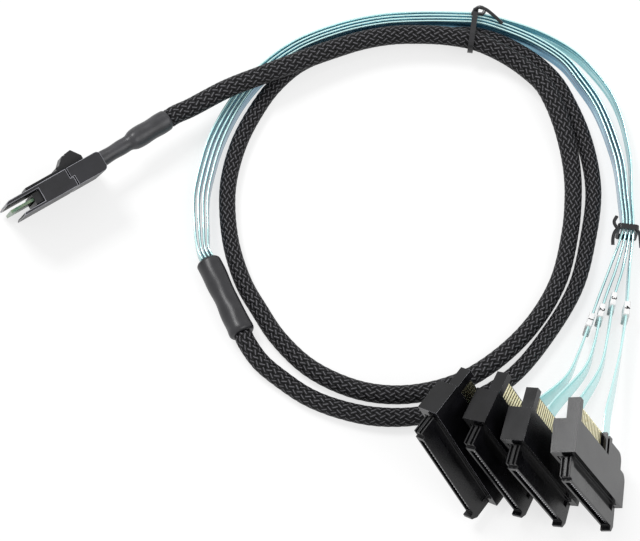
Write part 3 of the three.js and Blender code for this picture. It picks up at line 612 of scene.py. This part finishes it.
def sleeve_ring(distance, angle):
    """A soft oval that wanders in width, with the strands standing out of it."""
    width = np.interp(distance, WIDTH_STATIONS, WIDTHS)
    swell = 1 + sum(size * np.sin(distance / pace + phase) for size, pace, phase in SWELLS)
    round_cells = angle / (2 * math.pi) * STRANDS
    along_cells = distance / STRAND_LENGTH
    right = round_cells + along_cells
    left = round_cells - along_cells
    right_on_top = np.mod(np.floor(right) + np.floor(left), 2) < 1
    across = np.where(right_on_top, np.mod(right, 1), np.mod(left, 1))
    relief = STRAND_RELIEF * (np.sin(math.pi * across) - 0.5)
    half_width = width / 2 * swell + relief
    half_height = width / 2 * (FLATNESS - FLATNESS_SHIFT * (swell - 1)) + relief
    sunk = np.maximum(SLEEVE_WIDTH - width, 0) / 2
    return half_width * np.cos(angle), half_height * np.sin(angle) - sunk


def make_sleeve():
    lead_out = (BOOT_END - BOOT_START).normalized()
    lead_in = (SHRINK_END - SHRINK_START).normalized()
    points = [BOOT_END + lead_out * FIT, BOOT_END + lead_out * LEAD, *on_route(SLEEVE_ROUTE),
              SHRINK_START - lead_in * LEAD, SHRINK_START - lead_in * FIT]
    centres, reach = even_steps(smooth_line(points), SLEEVE_STEP)
    piece = roll("sleeve_braid", centres, reach, sleeve_ring, SLEEVE_SIDES, BRAID,
                 (1 / STRAND_LENGTH, STRANDS))
    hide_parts("braided_sleeve")
    return piece, centres, reach


sleeve, sleeve_centres, sleeve_reach = make_sleeve()

# %% [markdown]
# Boot and breakout tube
#
# Both are shrink tube. Two layers make the boot: the inner one grips the wires at the plug, and
# the outer one starts half way along and also grips the end of the sleeve. The breakout tube
# sits where the ribbons leave the sleeve, and it is a little waisted where nothing fills it.

# %% Boot and breakout tube
TUBE_SIDES = 40
TUBE_STEP = 0.4 * MM
BOOT_INNER = 2.35 * MM
BOOT_LAYER = 0.95 * MM
LAYER_STARTS = 0.47
LAYER_SLOPE = 0.018
BOOT_WRINKLE = 0.08 * MM
BOOT_ROUND_END = 0.03
TUBE_RADIUS = 3.8 * MM
WAIST = 0.28 * MM
LIP = 0.15 * MM
TUBE_WRINKLE = 0.07 * MM
TUBE_ROUND_END = 0.03
TUBE_MOUTH = 0.88


def make_boot():
    length = (BOOT_END - BOOT_START).length

    def ring(distance, angle):
        share = distance / length
        layer = 1 / (1 + np.exp(-(share - LAYER_STARTS) / LAYER_SLOPE))
        wrinkle = BOOT_WRINKLE * np.sin(share * 23) * np.cos(2 * angle + 1)
        near_end = np.clip((share - 1 + BOOT_ROUND_END) / BOOT_ROUND_END, 0, 1)
        radius = (BOOT_INNER + BOOT_LAYER * layer + wrinkle) * np.sqrt(1 - 0.3 * near_end ** 2)
        return radius * np.cos(angle), radius * np.sin(angle)

    line = np.array([BOOT_START, BOOT_END])
    centres, reach = even_steps(line, TUBE_STEP)
    piece = roll("boot_shrink_tube", centres, reach, ring, TUBE_SIDES, BOOT_SKIN)
    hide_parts("cable_boot")
    return piece


def make_breakout():
    length = (SHRINK_END - SHRINK_START).length

    def ring(distance, angle):
        share = distance / length
        waist = WAIST * np.exp(-((share - 0.5) / 0.16) ** 2)
        lip = LIP * np.exp(-((share - 0.06) / 0.04) ** 2)
        wrinkle = TUBE_WRINKLE * np.sin(share * 17) * np.cos(3 * angle)
        from_end = np.clip(np.minimum(share, 1 - share) / TUBE_ROUND_END, 0, 1)
        mouth = TUBE_MOUTH + (1 - TUBE_MOUTH) * np.sqrt(from_end)
        radius = (TUBE_RADIUS - waist + lip + wrinkle) * mouth
        return radius * np.cos(angle), radius * np.sin(angle)

    centres, reach = even_steps(np.array([SHRINK_START, SHRINK_END]), TUBE_STEP)
    piece = roll("breakout_tube", centres, reach, ring, TUBE_SIDES, BREAKOUT_SKIN)
    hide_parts("breakout_shrink_tube")
    return piece


boot = make_boot()
breakout = make_breakout()

# %% [markdown]
# The ribbons
#
# The four ribbons stand on edge side by side from the breakout tube to the second tie, then each
# goes its own way to its receptacle and turns until it leans as the receptacle does. A ribbon's
# section has a shallow ridge over each wire in it. The shared route gives the middle line of the
# stack, how far its ribbons are spread, and how far the outermost one stands off.

# %% Ribbons
STACK_ROUTE = [
    (-0.0329, 0.0356, 0.0032, 1.2, 0), (-0.0334, 0.0476, 0.0029, 1.3, 0),
    (-0.0325, 0.0545, 0.0029, 1.3, 0), (-0.029, 0.0686, 0.0029, 1.3, 0),
    (-0.0223, 0.0829, 0.0029, 1.1, 0), (-0.014, 0.0936, 0.0029, 1, 0),
    (-0.004, 0.1019, 0.0029, 1, 0), (0.0097, 0.1081, 0.0029, 1, 0),
    (0.0227, 0.1113, 0.0029, 1, 0), (0.035, 0.1121, 0.003, 1, 0), (0.0476, 0.1116, 0.0036, 1, 0),
    (0.0538, 0.1109, 0.004, 1, 0), (0.0605, 0.1091, 0.0033, 1, 0.0004),
    (0.0714, 0.104, 0.0029, 1, 0.0014), (0.0806, 0.0968, 0.0029, 1, 0.0023),
    (0.0857, 0.0893, 0.0029, 1.1, 0.003), (0.0899, 0.0817, 0.0029, 1.1, 0.0032),
    (0.0926, 0.0743, 0.0029, 1.1, 0.0028), (0.0945, 0.067, 0.0029, 1.1, 0.002),
    (0.0959, 0.0599, 0.0029, 1.1, 0.0011), (0.0964, 0.0476, 0.0033, 1, 0.0002),
    (0.0962, 0.036, 0.0041, 1, 0),
]
RIBBON_TAILS = [
    [(0.09, 0.0234, 0.0036), (0.0859, 0.0131, 0.0046), (0.0826, 0.0043, 0.006),
     (0.079, -0.0052, 0.007), (0.0747, -0.0142, 0.008)],
    [(0.092, 0.0234, 0.0036), (0.0885, 0.0144, 0.0046), (0.0862, 0.0076, 0.0056),
     (0.0839, -0.0018, 0.0066), (0.0807, -0.0108, 0.0075)],
    [(0.094, 0.0234, 0.0036), (0.0919, 0.0172, 0.0042), (0.0901, 0.0116, 0.005),
     (0.088, 0.0012, 0.0062), (0.0848, -0.0113, 0.0075)],
    [(0.096, 0.0234, 0.0036), (0.095, 0.0159, 0.0042), (0.0939, 0.0086, 0.005),
     (0.0919, -0.0022, 0.006), (0.0889, -0.0146, 0.0078)],
]
RIBBON_WIDTH = 5.6 * MM
RIBBON_THICK = 0.8 * MM
RIBBON_PITCH = 1.1 * MM
RIBBON_WIRES = 4
RIBBON_SIDES = 48
RIBBON_STEP = 1.2 * MM
TWIST_LENGTH = 45 * MM
FLAT_POWER = 0.55
THIN_POWER = 0.4
RIDGE = 0.2
RELIEF_HALF = 3.95 * MM
DRIVE_LEANS = (33.2, 29.4, 27.1, 24.6)
STRAIGHT_ENDS = (8 * MM, 3 * MM, 0)


def drive_axis(index):
    """The way from a receptacle's rear to its mating face, from the model's own mounts."""
    for mount in frame["record"]["mounts"]:
        if mount["name"] == f"drive_{index}_mating_face":
            return Vector(mount["axis"])


def node_centre(node):
    low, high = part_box(node)
    return (low + high) / 2


def stack_points(index):
    """The ribbon's own line in the stack: the middle line moved sideways by its place in it."""
    lead = (SHRINK_END - SHRINK_START).normalized()
    start = SHRINK_END + lead * FIT
    points = [(*start, 1, 0), (*(start + lead * LEAD), 1, 0)]
    points += [(*(Vector(p[:3]) + ORIGIN_SHIFT), *p[3:]) for p in STACK_ROUTE]
    placed = []
    for i, (x, y, z, spread, stand_off) in enumerate(points):
        before, after = points[max(i - 1, 0)], points[min(i + 1, len(points) - 1)]
        ahead = Vector((after[0] - before[0], after[1] - before[1])) if i > 1 else lead.xy
        ahead.normalize()
        side = (index - 1.5) * spread * RIBBON_PITCH + (stand_off if index == 3 else 0)
        placed.append(Vector((x - ahead.y * side, y + ahead.x * side, z)))
    return placed


def ribbon_ring(total, lean):
    """A flat section with a ridge over each wire, which turns to the receptacle's lean."""
    def ring(distance, angle):
        wide = np.sign(np.cos(angle)) * np.abs(np.cos(angle)) ** FLAT_POWER
        thin = np.sign(np.sin(angle)) * np.abs(np.sin(angle)) ** THIN_POWER
        wave = np.cos(math.pi * RIBBON_WIRES / 2 * (wide + 1) + math.pi / 2)
        ridge = 1 - RIDGE + RIDGE * np.abs(wave)
        wide = wide * RIBBON_WIDTH / 2
        thin = thin * RIBBON_THICK / 2 * ridge
        share = np.clip((distance - total + TWIST_LENGTH) / TWIST_LENGTH, 0, 1)
        turn = lean * share * share * (3 - 2 * share)
        return wide * np.sin(turn) + thin * np.cos(turn), wide * np.cos(turn) - thin * np.sin(turn)
    return ring


def make_ribbon(index):
    axis = drive_axis(index + 1)
    end = node_centre(f"drive_{index + 1}_ribbon_relief") - axis * (RELIEF_HALF + FIT)
    points = [*stack_points(index), *on_route(RIBBON_TAILS[index]),
              *(end - axis * back for back in STRAIGHT_ENDS)]
    centres, reach = even_steps(smooth_line(points), RIBBON_STEP)
    ring = ribbon_ring(reach[-1], math.radians(DRIVE_LEANS[index]))
    piece = roll(f"ribbon_{index + 1}_foil", centres, reach, ring, RIBBON_SIDES, FOILS[index],
                 (1 / MM, 1))
    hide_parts(f"ribbon_{index + 1}")
    return piece, centres, reach


ribbons = [make_ribbon(i) for i in range(len(RIBBON_TAILS))]

# %% [markdown]
# Softened edges on moulded pieces
#
# The rigid pieces are already right in the model, but every edge there is perfectly sharp, and a
# sharp edge never catches the light. Their meshes stay as they are: a copy is welded, its flat
# faces are joined up, and its sharp edges get a small bevel. The width is the real one, a few
# tenths of a millimetre on a case and less on a thin part. On the cases the bevels get a paler
# second material, a painted highlight along the edges.

# %% Softened edges
SHARP = math.radians(25)
SAME_PLANE = math.radians(1)
SOFTENED_WELD = 0.002 * MM


def softened(node, name, material, width, body="cable", edge=None):
    """A copy of a node with bevelled edges, which stands for it, and edge, where given, as a
    painted highlight on its bevels.
    """
    bm = bmesh.new()
    bm.from_mesh(frame["nodes"][node].data)
    bmesh.ops.remove_doubles(bm, verts=bm.verts, dist=SOFTENED_WELD)
    bmesh.ops.dissolve_limit(bm, angle_limit=SAME_PLANE, verts=bm.verts, edges=bm.edges)
    sharp = [e for e in bm.edges if e.is_manifold and e.calc_face_angle() > SHARP]
    made = bmesh.ops.bevel(bm, geom=sharp, offset=width, affect="EDGES", segments=2,
                           profile=0.5, material=-1, clamp_overlap=True)
    for face in bm.faces:
        face.smooth = False
    # Where edge is given, the bevel faces take it as a painted highlight.
    for face in made["faces"] if edge else ():
        face.material_index = 1
    print(name, "bevelled edges", len(sharp))
    piece = link_piece(name, bm, material, body)
    if edge:
        piece.data.materials.append(edge)
    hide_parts(node)
    return piece


# %% [markdown]
# The host plug
#
# Two shells of dark nylon meet at a jogged seam. Between the front jaws the edge of a small
# board shows, held by a black block, and a spring latch with a ribbed thumb tab lies on top. The
# latch is on its own body, because it moves.

# %% Host plug
# The shells' bevels take the painted edge highlight.
for node, name, width in (("host_front_shell", "plug_front_moulding", 0.2 * MM),
                          ("host_rear_shell", "plug_rear_moulding", 0.25 * MM)):
    softened(node, name, PLUG_NYLON, width, edge=PAINTED_EDGE_HIGHLIGHT)
softened("host_card_holder", "plug_card_block", LATCH_NYLON, 0.1 * MM)
softened("host_paddle_card", "plug_card", BOARD, 0.05 * MM)
softened("host_latch", "plug_latch_moulding", LATCH_NYLON, 0.15 * MM, body="latch")

# %% [markdown]
# The drive receptacles
#
# All four are the same, so one function dresses them. The housing and its insert are black
# polyester, the contacts are tin in the slot and gold on the power tongue. Those and the small
# board keep their own meshes and only get a finish.

# %% Drive receptacles
# The last column is the painted edge highlight for the bevels, where a part has one.
SOFTENED_PARTS = (
    ("housing", "case", CONNECTOR_BLACK, 0.22 * MM, "black_plastic", PAINTED_EDGE_HIGHLIGHT),
    ("receptacle", "insert", SLOT_BLACK, 0.12 * MM, "black_plastic", None),
    ("power_tongue", "tongue", SLOT_BLACK, 0.12 * MM, "black_plastic", None),
    ("ribbon_relief", "relief", BREAKOUT_SKIN, 0.2 * MM, "shrink_tube", None),
)
PLAIN_PARTS = (("power_pins", GOLD_PLATE), ("contact_comb", TINNED_STRIP), ("board", BOARD))


def dress_drive(index):
    for node, part, finish, width, slot, edge in SOFTENED_PARTS:
        softened(f"drive_{index}_{node}", f"receptacle_{index}_{part}", finish, width,
                 edge=edge)
    for node, finish in PLAIN_PARTS:
        materials = frame["nodes"][f"drive_{index}_{node}"].data.materials
        materials.clear()
        materials.append(finish)


for index in range(1, 5):
    dress_drive(index)

# %% [markdown]
# Labels and ties
#
# Each ribbon wears a short white sleeve with a plain number on it, so that the ends can be told
# apart. A label is a rounded box of film, a little waisted, and its number is a text object
# turned into a mesh and laid on the label's upper edge. Two lengths of vinyl-covered tie wire
# hold the bundle, and the model already has their shape.

# %% Labels and ties
DIGIT_HEIGHT = 1.6 * MM
LABEL_LENGTH = 4.4 * MM
LABEL_HEIGHT = 6.7 * MM
LABEL_THICK = 1.9 * MM
LABEL_STEP = 0.2 * MM
LABEL_SIDES = 48
LABEL_CORNER = 0.25
LABEL_PINCH = 0.06
DIGIT_LIFT = 0.06 * MM
DIGIT_DEPTH = 0.02 * MM
DIGIT_WEIGHT = 0.03 * MM
FONT_RATIO = 1.4


def make_label(index):
    tail = on_route(RIBBON_TAILS[index - 1])
    middle = tail[2]
    ahead = (tail[3] - tail[1]).normalized()
    half = ahead * LABEL_LENGTH / 2
    centres, reach = even_steps(np.array([middle - half, middle + half]), LABEL_STEP)

    def ring(distance, angle):
        rise, run = np.round(np.sin(angle), 9), np.round(np.cos(angle), 9)
        wide = np.sign(rise) * np.abs(rise) ** LABEL_CORNER * LABEL_HEIGHT / 2
        thin = np.sign(run) * np.abs(run) ** LABEL_CORNER * LABEL_THICK / 2
        pinch = 1 - LABEL_PINCH * np.sin(math.pi * distance / LABEL_LENGTH) ** 2
        return thin * pinch, wide

    piece = roll(f"ribbon_{index}_label", centres, reach, ring, LABEL_SIDES, LABEL_FILM)
    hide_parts(f"label_{index}")
    words = bpy.data.curves.new(f"digit_{index}", "FONT")
    words.body = str(index)
    words.size = DIGIT_HEIGHT * FONT_RATIO
    words.align_x = "CENTER"
    words.align_y = "CENTER"
    words.extrude = DIGIT_DEPTH
    words.offset = DIGIT_WEIGHT
    holder = bpy.data.objects.new("words", words)
    bpy.context.scene.collection.objects.link(holder)
    bpy.context.view_layer.update()
    mesh = bpy.data.meshes.new_from_object(holder)
    bpy.data.objects.remove(holder)
    side = Vector((-ahead.y, ahead.x, 0)).normalized()
    up = ahead.cross(side)
    top = middle + up * (LABEL_HEIGHT / 2 + DIGIT_LIFT)
    mesh.transform(Matrix.Translation(top) @ Matrix((ahead, side, up)).transposed().to_4x4())
    mesh.materials.clear()
    mesh.materials.append(DIGIT_INK)
    digit = bpy.data.objects.new(f"label_digit_{index}", mesh)
    bpy.context.scene.collection.objects.link(digit)
    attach(digit, "cable")
    return piece, digit


labels = [make_label(i) for i in range(1, 5)]
tie_top = softened("wire_tie_top", "top_tie", TIE_VINYL, 0.12 * MM)
tie_right = softened("wire_tie_right", "right_tie", TIE_VINYL, 0.12 * MM)
